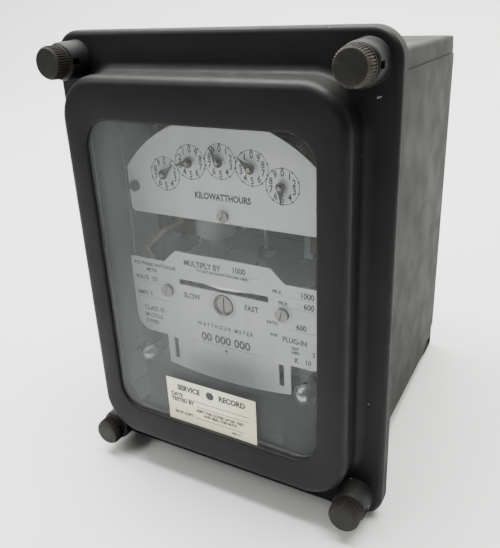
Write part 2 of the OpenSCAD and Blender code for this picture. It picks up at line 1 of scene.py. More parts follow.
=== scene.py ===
"""Draw-out case watthour meter: finished cover, nuts, plates, printing, glass and materials
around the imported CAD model. The front of the meter faces -Y and its panel face is the plane y = 0.
Meshes are drawn in millimetres. Materials, the camera and the lights are in metres."""
import json
import math

import bmesh
import bpy
from mathutils import Matrix, Vector


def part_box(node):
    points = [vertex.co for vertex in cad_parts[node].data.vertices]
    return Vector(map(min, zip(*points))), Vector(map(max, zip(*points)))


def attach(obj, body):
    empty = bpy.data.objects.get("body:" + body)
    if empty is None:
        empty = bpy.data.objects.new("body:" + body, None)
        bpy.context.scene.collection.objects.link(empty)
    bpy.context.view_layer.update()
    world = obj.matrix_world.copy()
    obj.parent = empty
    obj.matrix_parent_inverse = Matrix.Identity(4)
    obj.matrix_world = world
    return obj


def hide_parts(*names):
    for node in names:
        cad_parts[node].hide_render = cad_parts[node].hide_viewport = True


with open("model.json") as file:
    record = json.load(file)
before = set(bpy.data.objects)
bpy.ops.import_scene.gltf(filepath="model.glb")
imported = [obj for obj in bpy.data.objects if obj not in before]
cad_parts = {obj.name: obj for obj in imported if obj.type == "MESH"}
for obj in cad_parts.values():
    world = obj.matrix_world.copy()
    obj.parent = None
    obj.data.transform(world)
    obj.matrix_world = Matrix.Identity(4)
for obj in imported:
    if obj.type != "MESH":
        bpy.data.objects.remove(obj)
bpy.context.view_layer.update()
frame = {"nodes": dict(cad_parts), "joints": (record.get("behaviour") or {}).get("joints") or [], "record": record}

MM = 0.001
WELD = 1e-7                   # points closer than this become one, in metres
CAD_WELD = 1e-6               # the same for copies of CAD nodes
FINE_CIRCLE = 72              # straight steps in a large circle
NODES = frame["nodes"]
JOINTS = {j["name"]: j for j in frame["joints"]}
SLOTS = {s["node"]: s["material_slot"] for s in frame["record"]["subparts"]}
BODIES = frame["record"]["behaviour"]["bodies"]


def span(node):
    """A node's lowest and highest corners in millimetres."""
    low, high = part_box(node)
    return low / MM, high / MM


def joint_place(name):
    """X and Z of a joint's axis in millimetres."""
    x, _, z = JOINTS[name]["pos_m"]
    return x / MM, z / MM


# ---------- materials ----------

class Nodes:
    """Short way to build a material's node tree. Most calls add nodes and return their output."""

    def __init__(self, name):
        self.mat = bpy.data.materials.new(name)
        self.mat.use_nodes = True
        self.tree = self.mat.node_tree
        self.shader = self.tree.nodes["Principled BSDF"]
        self.place = self.add("ShaderNodeTexCoord").outputs["Object"]

    def add(self, kind, **settings):
        node = self.tree.nodes.new(kind)
        for key, value in settings.items():
            setattr(node, key, value)
        return node

    def put(self, socket, value):
        if isinstance(value, bpy.types.NodeSocket):
            self.tree.links.new(value, socket)
        else:
            socket.default_value = value

    def put_color(self, socket, value):
        self.put(socket, (*value, 1) if isinstance(value, tuple) else value)

    def noise(self, per_metre, detail=3.0, stretch=(1, 1, 1)):
        """Smooth noise with so many features to the metre, times stretch along each axis."""
        mapping = self.add("ShaderNodeMapping")
        self.put(mapping.inputs["Vector"], self.place)
        mapping.inputs["Scale"].default_value = [per_metre * s for s in stretch]
        node = self.add("ShaderNodeTexNoise")
        self.put(node.inputs["Vector"], mapping.outputs["Vector"])
        node.inputs["Scale"].default_value = 1.0
        node.inputs["Detail"].default_value = detail
        return node.outputs["Fac"]

    def ramp(self, value, low, high, to_low=0.0, to_high=1.0):
        """Maps low to high onto to_low to to_high, and holds the ends."""
        node = self.add("ShaderNodeMapRange")
        names = ("Value", "From Min", "From Max", "To Min", "To Max")
        for key, setting in zip(names, (value, low, high, to_low, to_high)):
            self.put(node.inputs[key], setting)
        return node.outputs["Result"]

    def math(self, operation, a, b=0.0):
        node = self.add("ShaderNodeMath", operation=operation)
        self.put(node.inputs[0], a)
        self.put(node.inputs[1], b)
        return node.outputs["Value"]

    def mix(self, factor, a, b):
        node = self.add("ShaderNodeMix", data_type="RGBA")
        self.put(node.inputs["Factor"], factor)
        self.put_color(node.inputs["A"], a)
        self.put_color(node.inputs["B"], b)
        return node.outputs["Result"]

    def axis(self, index):
        """The place along one axis, "X", "Y" or "Z", in metres."""
        node = self.add("ShaderNodeSeparateXYZ")
        self.put(node.inputs["Vector"], self.place)
        return node.outputs[index]

    def upward(self):
        """How far the surface faces up, from -1 to 1."""
        node = self.add("ShaderNodeSeparateXYZ")
        self.put(node.inputs["Vector"], self.add("ShaderNodeNewGeometry").outputs["Normal"])
        return node.outputs["Z"]

    def edges(self, low=0.52, high=0.6):
        """1 on convex edges and 0 elsewhere."""
        return self.ramp(self.add("ShaderNodeNewGeometry").outputs["Pointiness"], low, high)

    def bump(self, height, strength, distance):
        node = self.add("ShaderNodeBump")
        node.inputs["Strength"].default_value = strength
        node.inputs["Distance"].default_value = distance
        self.put(node.inputs["Height"], height)
        self.put(self.shader.inputs["Normal"], node.outputs["Normal"])

    def finish(self, color, roughness, metallic=0.0):
        self.put_color(self.shader.inputs["Base Color"], color)
        self.put(self.shader.inputs["Roughness"], roughness)
        self.shader.inputs["Metallic"].default_value = metallic
        return self.mat


def scaled(color, factor):
    return tuple(c * factor for c in color)


DUST = (0.30, 0.29, 0.26)
BARE_METAL = (0.26, 0.25, 0.23)


def enamel(name, color, roughness, dust=0.25, chips=0.0, peel=0.25, gloss=0.4, ior=1.5):
    """Sprayed enamel: soft mottling, orange peel and dust on what faces up. Where chips is above 0, chips
    show bare metal on the edges and in specks, with more of them at the top right corner."""
    n = Nodes(name)
    blotch = n.noise(28, 4)
    tone = n.mix(n.ramp(blotch, 0.35, 0.65), scaled(color, 0.92), scaled(color, 1.08))
    facing_up = n.ramp(n.upward(), 0.3, 1.0, 0.0, dust)
    dusty = n.math("MULTIPLY", facing_up, n.ramp(n.noise(160, 5), 0.3, 0.7, 0.45, 1.0))
    tone = n.mix(dusty, tone, DUST)
    scuff = n.math("MULTIPLY", n.ramp(n.noise(420, 2, (1, 1, 0.15)), 0.62, 0.8), 0.18)
    tone = n.mix(scuff, tone, scaled(color, 2.4))
    if chips:
        spots = n.math("MULTIPLY", n.ramp(n.noise(210, 2), 0.68, 0.71), n.edges())
        corner = n.math("MULTIPLY", n.ramp(n.axis("X"), 0.05, 0.068), n.ramp(n.axis("Z"), 0.06, 0.085))
        specks = n.ramp(n.math("ADD", n.noise(330, 1), n.math("MULTIPLY", corner, 0.05)), 0.81, 0.825)
        tone = n.mix(n.math("MULTIPLY", n.math("MAXIMUM", spots, specks), chips), tone, BARE_METAL)
    if peel:
        n.bump(n.noise(1500, 2), peel, 0.00006)
    n.shader.inputs["Specular IOR Level"].default_value = gloss
    n.shader.inputs["IOR"].default_value = ior
    return n.finish(tone, n.ramp(n.noise(60, 3), 0.3, 0.7, roughness - 0.05, roughness + 0.1))


def metal(name, color, roughness=0.3, stretch=(1, 1, 1), tarnish=0.3, grain=0.22):
    """Bare or plated metal with fine tool marks along the short stretch axis, and tarnish in patches."""
    n = Nodes(name)
    tone = n.mix(n.math("MULTIPLY", n.ramp(n.noise(130, 5), 0.45, 0.75), tarnish), color, (0.12, 0.1, 0.07))
    n.bump(n.noise(2600, 2, stretch), grain, 0.00004)
    return n.finish(tone, n.ramp(n.noise(90, 4), 0.3, 0.7, roughness * 0.75, roughness * 1.35), 1.0)


def polished(name, color, roughness):
    """Clean bright metal, the same all over."""
    return Nodes(name).finish(color, roughness, 1.0)


def plastic(name, color, roughness=0.5, speckle=0.3):
    """Moulded or fibrous stuff: one colour with lighter specks and a fine uneven surface."""
    n = Nodes(name)
    tone = n.mix(n.math("MULTIPLY", n.ramp(n.noise(900, 3), 0.5, 0.75), speckle), color, scaled(color, 2.2))
    n.bump(n.noise(1200, 3), 0.15, 0.00005)
    return n.finish(tone, n.ramp(n.noise(70, 3), 0.3, 0.7, roughness - 0.08, roughness + 0.1))


def plate_silver():
    """Satin silver lacquer with a fine grain, a warmer stain here and there and a little dirt."""
    n = Nodes("plate_silver")
    tone = n.mix(n.ramp(n.noise(22, 4), 0.35, 0.7), (0.445, 0.472, 0.478), (0.535, 0.555, 0.555))
    tone = n.mix(n.math("MULTIPLY", n.ramp(n.noise(400, 4), 0.62, 0.8), 0.25), tone, (0.25, 0.24, 0.21))
    n.bump(n.noise(3000, 2), 0.12, 0.00003)
    n.shader.inputs["Specular IOR Level"].default_value = 0.4
    return n.finish(tone, n.ramp(n.noise(60, 3), 0.3, 0.7, 0.42, 0.58))


def cover_glass():
    """Clear glass under a milky film of dust in clouds and streaks. The film also grows denser towards the bottom,
    and towards the left, where the extra film is painted glare standing for the bright surroundings reflected
    there.
    """
    n = Nodes("cover_glass")
    # painted glare: the extra film towards the left stands for the reflection of the bright surroundings on that
    # side
    left = n.ramp(n.axis("X"), -0.06, 0.06, 0.12, 0.0)
    low = n.ramp(n.axis("Z"), -0.08, 0.08, 0.05, 0.0)
    cloud = n.ramp(n.noise(26, 5, (1, 1, 0.6)), 0.3, 0.75, 0.01, 0.105)
    dust_film_and_glare = n.math("ADD", n.math("ADD", left, low), cloud)
    streaks = n.ramp(n.noise(160, 4, (1, 1, 0.12)), 0.5, 0.85, 0.0, 0.06)
    amount = n.math("MINIMUM", n.math("ADD", dust_film_and_glare, streaks), 0.6)
    n.put(n.shader.inputs["Alpha"], amount)
    n.shader.inputs["Specular IOR Level"].default_value = 0.5
    n.bump(n.noise(18, 2), 0.1, 0.0002)
    return n.finish((0.225, 0.244, 0.243), 0.2)


def label_paper():
    """Aged cream paper, browned along its lower edge and its right end."""
    n = Nodes("label_paper")
    wave = n.math("MULTIPLY", n.noise(90, 4), 0.012)
    low = n.ramp(n.math("SUBTRACT", n.axis("Z"), wave), -0.082, -0.070, 0.55, 0.0)
    right = n.ramp(n.math("ADD", n.axis("X"), wave), 0.012, 0.034, 0.0, 0.5)
    stain = n.math("MAXIMUM", low, right)
    tone = n.mix(stain, (0.8, 0.8, 0.6), (0.46, 0.37, 0.21))
    tone = n.mix(n.ramp(n.noise(700, 4), 0.62, 0.8, 0.0, 0.35), tone, (0.38, 0.31, 0.2))
    n.bump(n.noise(2200, 4), 0.3, 0.00006)
    return n.finish(tone, 0.62)


def blackened_nut(worn):
    """Blackened brass; worn is how much brown metal shows on the ridges."""
    n = Nodes(f"blackened_nut_{int(worn * 100)}")
    rubbed = n.math("MULTIPLY", n.edges(0.51, 0.6), n.ramp(n.noise(180, 3), 0.35, 0.65, 0.1, 1.0))
    tone = n.mix(n.ramp(n.noise(240, 4), 0.35, 0.7), (0.0065, 0.0065, 0.0058), (0.012, 0.0115, 0.0098))
    tone = n.mix(n.math("MULTIPLY", rubbed, worn), tone, (0.13, 0.085, 0.045))
    n.bump(n.noise(2200, 3), 0.2, 0.00005)
    n.shader.inputs["Specular IOR Level"].default_value = 0.2
    return n.finish(tone, n.ramp(n.noise(120, 3), 0.3, 0.7, 0.45, 0.6))


def ink():
    """Printing ink, worn a little lighter in places."""
    n = Nodes("print_ink")
    tone = n.mix(n.ramp(n.noise(600, 3), 0.4, 0.75), (0.012, 0.015, 0.018), (0.04, 0.046, 0.05))
    return n.finish(tone, 0.6)


def plain_stage(name, color):
    """Matt paint for the floor, very slightly uneven."""
    n = Nodes(name)
    tone = n.mix(n.ramp(n.noise(3, 3), 0.3, 0.7), scaled(color, 0.97), color)
    return n.finish(tone, 0.75)


MATERIALS = {
    "case_enamel": enamel("case_enamel", (0.0255, 0.0268, 0.0238), 0.55,
                          dust=0.12, peel=0.04, gloss=0.2, ior=1.2),
    "cover_enamel": enamel("cover_enamel", (0.0072, 0.0078, 0.0078), 0.42,
                           dust=0.08, chips=0.8, peel=0.12, gloss=0.2, ior=1.38),
    "bright_steel": metal("bright_steel", (0.56, 0.55, 0.52), 0.32),
    "blackened_brass": blackened_nut(0.25),
    "worn_brass": blackened_nut(0.7),
    "moulded_black": plastic("moulded_black", (0.02, 0.02, 0.021)),
    "plug_grey": plastic("plug_grey", (0.016, 0.019, 0.022), 0.45),
    "contact_brass": metal("contact_brass", (0.6, 0.43, 0.2), 0.35),
    "gasket_rubber": plastic("gasket_rubber", (0.02, 0.02, 0.02), 0.75),
    "cover_glass": cover_glass(),
    "label_paper": label_paper(),
    "retainer_steel": enamel("retainer_steel", (0.03, 0.03, 0.03), 0.5),
    "knob_nickel": metal("knob_nickel", (0.27, 0.28, 0.29), 0.26, tarnish=0.4),
    "cradle_enamel": enamel("cradle_enamel", (0.085, 0.092, 0.085), 0.5, peel=0.0),
    "cast_aluminium": metal("cast_aluminium", (0.3, 0.31, 0.31), 0.6, tarnish=0.2, grain=0.08),
    "core_steel": metal("core_steel", (0.2, 0.21, 0.22), 0.42, (1, 6, 1)),
    "coil_wrap": plastic("coil_wrap", (0.12, 0.045, 0.025), 0.35),
    "coil_copper": metal("coil_copper", (0.5, 0.26, 0.13), 0.35, (1, 1, 8)),
    "magnet_iron": enamel("magnet_iron", (0.1, 0.105, 0.105), 0.5, peel=0.06),
    "gear_brass": metal("gear_brass", (0.66, 0.5, 0.24), 0.3, tarnish=0.25),
    "plate_silver": plate_silver(),
    "lead_cotton": plastic("lead_cotton", (0.45, 0.38, 0.22), 0.85, 0.5),
    "disc_aluminium": polished("disc_aluminium", (0.72, 0.73, 0.73), 0.3),
    "pointer_black": plastic("pointer_black", (0.012, 0.015, 0.019), 0.5),
    # darker than bright_steel: the low colour paints the dark reflection that the plates' screws show
    "screw_steel": metal("screw_steel", (0.17, 0.175, 0.165), 0.35, tarnish=0.5),
    "print_ink": ink(),
}


# ---------- mesh building ----------

def piece(name, bm, material, body, replaces=(), smooth_deg=35):
    """Turns a bmesh into a finished piece of the meter."""
    bmesh.ops.remove_doubles(bm, verts=bm.verts, dist=WELD)
    bmesh.ops.recalc_face_normals(bm, faces=bm.faces)
    mesh = bpy.data.meshes.new(name)
    bm.to_mesh(mesh)
    bm.free()
    obj = bpy.data.objects.new(name, mesh)
    bpy.context.scene.collection.objects.link(obj)
    mesh.materials.append(MATERIALS[material])
    mesh.shade_smooth()
    mesh.set_sharp_from_angle(angle=math.radians(smooth_deg))
    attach(obj, body)
    if replaces:
        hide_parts(*replaces)
    return obj


def rounded_rect(w, h, r, mid_z=0.0, per_corner=14):
    """Points of a rounded rectangle in X and Z, as many for every size."""
    points = []
    for k, (sx, sz) in enumerate(((1, 1), (-1, 1), (-1, -1), (1, -1))):
        for i in range(per_corner + 1):
            a = math.radians(90 * (k + i / per_corner))
            points.append((sx * (w / 2 - r) + r * math.cos(a), mid_z + sz * (h / 2 - r) + r * math.sin(a)))
    return points


def arc(steps, start, end):
    """Cosine and sine at equal steps along an arc, whose ends are given in degrees."""
    return [(math.cos(math.radians(a)), math.sin(math.radians(a)))
            for a in (start + (end - start) * i / steps for i in range(steps + 1))]


def circle(at, r, y, segments):
    """Points of a circle about at = (x, z), at depth y."""
    angles = [2 * math.pi * i / segments for i in range(segments)]
    return [(at[0] + r * math.cos(a), y, at[1] + r * math.sin(a)) for a in angles]


def add_rings(bm, rings, closed=True):
    """Skins rings of equally many points, given as lists of (x, y, z). The last ring joins the first
    when closed, and otherwise both ends get a face."""
    made = [[bm.verts.new(Vector(p) * MM) for p in ring] for ring in rings]
    count = len(made[0])
    pairs = list(zip(made, made[1:])) + ([(made[-1], made[0])] if closed else [])
    for a, b in pairs:
        for i in range(count):
            j = (i + 1) % count
            bm.faces.new((a[i], a[j], b[j], b[i]))
    if not closed:
        bm.faces.new(made[0][::-1])
        bm.faces.new(made[-1])


def add_lathe(bm, profile, at, segments):
    """Turns (radius, y) points about the line through at = (x, z) along Y."""
    add_rings(bm, [circle(at, r, y, segments) for r, y in profile], closed=False)


def add_slab(bm, outline, y0, y1, at=(0, 0), turn=0.0):
    """Extrudes a closed outline in X and Z, turned clockwise as seen from the front, from y0 to y1."""
    c, s = math.cos(math.radians(turn)), math.sin(math.radians(turn))
    points = [(at[0] + x * c + z * s, at[1] - x * s + z * c) for x, z in outline]
    add_rings(bm, [[(x, y, z) for x, z in points] for y in (y0, y1)], closed=False)


def add_bar(bm, x0, z0, x1, z1, width, y0, y1):
    """A straight printed line from one point to another."""
    d = Vector((x1 - x0, z1 - z0)).normalized() * width / 2
    corners = [(x0 - d.y, z0 + d.x), (x0 + d.y, z0 - d.x), (x1 + d.y, z1 - d.x), (x1 - d.y, z1 + d.x)]
    add_slab(bm, corners, y0, y1)


def add_ring_line(bm, at, r, width, y0, y1):
    """A printed circle of middle radius r."""
    outer, inner = r + width / 2, r - width / 2
    section = ((outer, y1), (outer, y0), (inner, y0), (inner, y1))
    add_rings(bm, [circle(at, radius, y, FINE_CIRCLE) for radius, y in section])


SIZE_PER_CAPITAL = 1.42       # the font's size over the height of its capitals


def add_text(bm, words, x, z, height, y, align="CENTER", narrow=0.8, weight=0.0):
    """Letters whose capitals are height high. They reach 0.02 mm to each side of depth y."""
    curve = bpy.data.curves.new("words", "FONT")
    curve.body = words
    curve.align_x = align
    curve.align_y = "CENTER"
    curve.size = height * SIZE_PER_CAPITAL
    curve.extrude = 0.02
    curve.offset = weight
    curve.resolution_u = 3
    obj = bpy.data.objects.new("words", curve)
    bpy.context.scene.collection.objects.link(obj)
    bpy.context.view_layer.update()
    mesh = bpy.data.meshes.new_from_object(obj.evaluated_get(bpy.context.evaluated_depsgraph_get()))
    mesh.transform(Matrix.Translation(Vector((x, y, z)) * MM) @ Matrix.Scale(MM, 4)
                   @ Matrix.Rotation(math.pi / 2, 4, "X") @ Matrix.Diagonal((narrow, 1, 1, 1)))
    bm.from_mesh(mesh)
    bpy.data.meshes.remove(mesh)
    bpy.data.objects.remove(obj)
    bpy.data.curves.remove(curve)


def soften(node, width):
    """A copy of a CAD node with its sharp edges broken, which stands for that node."""
    bm = bmesh.new()
    bm.from_mesh(NODES[node].data)
    bmesh.ops.remove_doubles(bm, verts=bm.verts, dist=CAD_WELD)
    body = next(b for b, names in BODIES.items() if node in names)
    obj = piece(node + "_finished", bm, SLOTS[node], body, replaces=(node,))
    bevel = obj.modifiers.new("broken_edges", "BEVEL")
    bevel.width = width * MM
    bevel.segments = 3
    bevel.limit_method = "ANGLE"
    bevel.angle_limit = math.radians(40)
    weighted = obj.modifiers.new("flat_faces", "WEIGHTED_NORMAL")
    weighted.keep_sharp = True


def paint_nodes():
    """Gives every CAD node its slot's material, or the darker screw steel to the small fittings of the plates,
    whose dark tone is a painted reflection of dark surroundings.
    """
    painted_reflection_fittings = ("dial_screws", "nameplate_screws", "load_adjuster")
    # these fittings get the darker steel as a painted reflection of dark surroundings
    for name, node in NODES.items():
        node.data.materials.clear()
        node.data.materials.append(MATERIALS["screw_steel" if name in painted_reflection_fittings else SLOTS[name]])
        node.data.shade_smooth()
        node.data.set_sharp_from_angle(angle=math.radians(35))


paint_nodes()


# ---------- cover ----------

FLANGE_LOW, FLANGE_HIGH = span("cover_flange")
FLANGE_W = FLANGE_HIGH.x - FLANGE_LOW.x
FLANGE_H = FLANGE_HIGH.z - FLANGE_LOW.z
RIM_Y = span("case_frame")[0].y
GLASS_LOW, GLASS_HIGH = span("window_glass")
RETAINER_LOW, RETAINER_HIGH = span("glass_retainer")
SHEET = 1.5                   # thickness of the cover's sheet
GLASS_LAP = 3.5               # how far the glass reaches behind the bezel
FLANGE_DEPTH = 3
FLANGE_R = 13
WINDOW_R = 13
BEZEL_R = 21
BEZEL_Y = GLASS_LOW.y - SHEET
CASE_W = 2 * span("case_side_right")[1].x
BEZEL_W = RETAINER_HIGH.x - RETAINER_LOW.x + 2 * SHEET
BEZEL_H = RETAINER_HIGH.z - RETAINER_LOW.z + 2 * SHEET
WINDOW_MID = (GLASS_LOW.z + GLASS_HIGH.z) / 2
WINDOW_W = GLASS_HIGH.x - GLASS_LOW.x - 2 * GLASS_LAP
WINDOW_H = GLASS_HIGH.z - GLASS_LOW.z - 2 * GLASS_LAP
FLANGE_Y = RIM_Y - FLANGE_DEPTH
BOSS_Y = -19.5                # front face of the bosses that the nuts bear on
SEAL_Y = -16.7                # middle of the seal wire holes
NUT_R = 7.5
CORNERS = ("top_left", "top_right", "bottom_left", "bottom_right")
STUDS = {corner: joint_place(f"thumb_nut_{corner}_turn") for corner in CORNERS}


def make_cover_shell():
    """Flange and bezel in one skin: round the outer edge, up the bezel, over its shoulder, in at the
    window and back down the inside. Edge, fillet, shoulder and lip are the radii of its four bends."""
    edge, fillet, shoulder, lip = 2.6, 4.5, 4.2, 1.2
    rings = []

    def ring(w, h, r, y, mid_z=0.0):
        rings.append([(x, y, z) for x, z in rounded_rect(w, h, r, mid_z)])

    ring(FLANGE_W, FLANGE_H, FLANGE_R, RIM_Y)
    for c, s in arc(6, 0, 90):
        inset = edge * (1 - c)
        ring(FLANGE_W - 2 * inset, FLANGE_H - 2 * inset, FLANGE_R - inset, FLANGE_Y + edge * (1 - s))
    for c, s in arc(6, 90, 0):
        grow = fillet * (1 - c)
        ring(BEZEL_W + 2 * grow, BEZEL_H + 2 * grow, BEZEL_R + grow, FLANGE_Y - fillet * (1 - s))
    for c, s in arc(7, 0, 90):
        inset = shoulder * (1 - c)
        ring(BEZEL_W - 2 * inset, BEZEL_H - 2 * inset, BEZEL_R - inset, BEZEL_Y + shoulder * (1 - s))
    for c, s in arc(4, 90, 0):
        grow = lip * (1 - c)
        ring(WINDOW_W + 2 * grow, WINDOW_H + 2 * grow, WINDOW_R + grow, BEZEL_Y + lip * (1 - s), WINDOW_MID)
    ring(WINDOW_W, WINDOW_H, WINDOW_R, GLASS_LOW.y, WINDOW_MID)
    inner_w, inner_h, inner_r = BEZEL_W - 2 * SHEET, BEZEL_H - 2 * SHEET, BEZEL_R - SHEET
    for c, s in arc(4, 90, 0):
        inset = (shoulder - SHEET) * (1 - c)
        y = GLASS_LOW.y + (shoulder - SHEET) * (1 - s)
        ring(inner_w - 2 * inset, inner_h - 2 * inset, inner_r - inset, y)
    ring(inner_w, inner_h, inner_r, RIM_Y)
    bm = bmesh.new()
    add_rings(bm, rings)
    piece("cover_shell", bm, "cover_enamel", "cover", replaces=("cover_flange", "cover_bezel"), smooth_deg=50)


def make_case_frame():
    """Panel frame behind the cover: its outer edges broken, its opening the size of the case."""
    low, high = span("case_frame")
    body_low, body_high = span("case_body")
    mid = (body_low.z + body_high.z) / 2
    front_break, back_break, opening_r = 0.5, 0.3, 0.2
    stations = ((front_break, low.y), (0.0, low.y + front_break),
                (0.0, high.y - back_break), (back_break, high.y))
    rings = []
    for inset, y in stations:
        outline = rounded_rect(FLANGE_W - 2 * inset, FLANGE_H - 2 * inset, FLANGE_R - inset)
        rings.append([(x, y, z) for x, z in outline])
    for y in (high.y, low.y):
        rings.append([(x, y, z) for x, z in rounded_rect(CASE_W, body_high.z - body_low.z, opening_r, mid)])
    bm = bmesh.new()
    add_rings(bm, rings)
    piece("panel_frame", bm, "case_enamel", "case", replaces=("case_frame",))


def make_ferrules():
    """Bosses that the nuts bear on, each with an oblong hole across it for the seal wire."""
    outside = [(9.1, FLANGE_Y), (8.75, FLANGE_Y - 0.35), (8.7, FLANGE_Y - 1.0), (8.62, FLANGE_Y - 5.0)]
    rim_r, rim_in, rim_back = 8.45, 2.4, 2.0
    rim = [(rim_r - rim_in * (1 - c), BOSS_Y + rim_back * (1 - s)) for c, s in arc(8, 0, 90)]
    bore_r = 4.6
    bore = [(bore_r, BOSS_Y), (bore_r, FLANGE_Y)]
    hole_through, hole_deep, hole_high = 24, 3.4, 2.8
    hole_size = Matrix.Diagonal((hole_through * MM, hole_deep * MM, hole_high * MM, 1))
    bosses, holes = bmesh.new(), bmesh.new()
    for x, z in STUDS.values():
        add_rings(bosses, [circle((x, z), r, y, FINE_CIRCLE) for r, y in outside + rim + bore])
        hole_place = Matrix.Translation((x * MM, SEAL_Y * MM, z * MM))
        bmesh.ops.create_cube(holes, size=1.0, matrix=hole_place @ hole_size)
    obj = piece("seal_ferrules", bosses, "cover_enamel", "cover", replaces=("seal_bosses",), smooth_deg=40)
    cut_from(obj, holes)


def cut_from(obj, cutter_bm):
    """Takes the cutter's volume out of a piece and applies the cut."""
    mesh = bpy.data.meshes.new("cutter")
    cutter_bm.to_mesh(mesh)
    cutter_bm.free()
    cutter = bpy.data.objects.new("cutter", mesh)
    bpy.context.scene.collection.objects.link(cutter)
    cut = obj.modifiers.new("cut", "BOOLEAN")
    cut.operation = "DIFFERENCE"
    cut.solver = "EXACT"
    cut.object = cutter
    bpy.context.view_layer.update()
    result = bpy.data.meshes.new_from_object(obj.evaluated_get(bpy.context.evaluated_depsgraph_get()))
    obj.modifiers.clear()
    obj.data = result
    obj.data.set_sharp_from_angle(angle=math.radians(40))
    bpy.data.objects.remove(cutter)
    bpy.data.meshes.remove(mesh)


def make_nut(corner, material):
    """Knurled thumb nut: straight ridges, a thin collar at the foot and a chamfered flat face."""
    x, z = STUDS[corner]
    node = f"thumb_nut_{corner}"
    front = span(node)[0].y
    groove = (0.0, 0.5, 0.62, 0.5, 0.0)
    count = 40 * len(groove)
    # radius, place along Y, and how much of the groove's depth is cut there
    collar = [(NUT_R - 0.15, BOSS_Y - 0.02, 0), (NUT_R, BOSS_Y - 0.2, 0), (NUT_R, BOSS_Y - 0.7, 0)]
    grip = [(NUT_R - 0.5, BOSS_Y - 0.9, 0.1), (NUT_R - 0.1, BOSS_Y - 1.2, 0.9),
            (NUT_R - 0.05, BOSS_Y - 3.0, 1), (NUT_R - 0.15, front + 1.5, 1)]
    chamfer = [(NUT_R - 0.55, front + 0.75, 0.55), (NUT_R - 0.95, front + 0.2, 0)]
    face = [(NUT_R - 1.2, front + 0.03, 0), (NUT_R - 1.5, front, 0), (NUT_R - 4.5, front + 0.03, 0)]
    rings = []
    for r, y, share in collar + grip + chamfer + face:
        ring = []
        for i in range(count):
            a = 2 * math.pi * i / count
            cut_r = r - share * groove[i % len(groove)]
            ring.append((x + cut_r * math.cos(a), y, z + cut_r * math.sin(a)))
        rings.append(ring)
    bm = bmesh.new()
    add_rings(bm, rings, closed=False)
    piece(f"{node}_knurled", bm, material, node, (node,), smooth_deg=28)


make_cover_shell()
make_case_frame()
make_ferrules()
for nut_corner in CORNERS:
    make_nut(nut_corner, "worn_brass" if nut_corner == "top_right" else "blackened_brass")


# ---------- printed plates ----------

PRINT = 0.035                 # the printing stands this far proud, in millimetres
DIALS = [joint_place(f"pointer_{i}_spin") for i in range(1, 6)]
SENSES = (1, -1, 1, -1, 1)    # 1 where the numerals run clockwise
READINGS = (1.4, 2.8, 9.1, 1.4, 5.0)
DIAL_R = 8.2
NUMERAL_R = 5.95              # from a dial's centre to the middle of its numerals
DOT_R = 0.48
DIAL_Y = span("dial_plate")[0].y
NAME_Y = span("nameplate")[0].y


def make_dial_print():
    """Five numbered circles, with a dot at every numeral, and the unit above them."""
    bm = bmesh.new()
    y0, y1 = DIAL_Y - PRINT, DIAL_Y
    dot = [(DOT_R * math.cos(t * math.pi / 5), DOT_R * math.sin(t * math.pi / 5)) for t in range(10)]
    for (x, z), sense in zip(DIALS, SENSES):
        add_ring_line(bm, (x, z), DIAL_R, 0.3, y0, y1)
        for k in range(10):
            a = math.radians(36 * k * sense)
            c, s = math.cos(a), math.sin(a)
            add_slab(bm, dot, y0, y1, (x + DIAL_R * s, z + DIAL_R * c))
            add_text(bm, str(k), x + NUMERAL_R * s, z + NUMERAL_R * c, 3.2, y0, weight=0.1)
    add_text(bm, "KILOWATTHOURS", 0, 39.2, 3.1, y0, narrow=0.82, weight=0.17)
    piece("dial_printing", bm, "print_ink", "cradle")


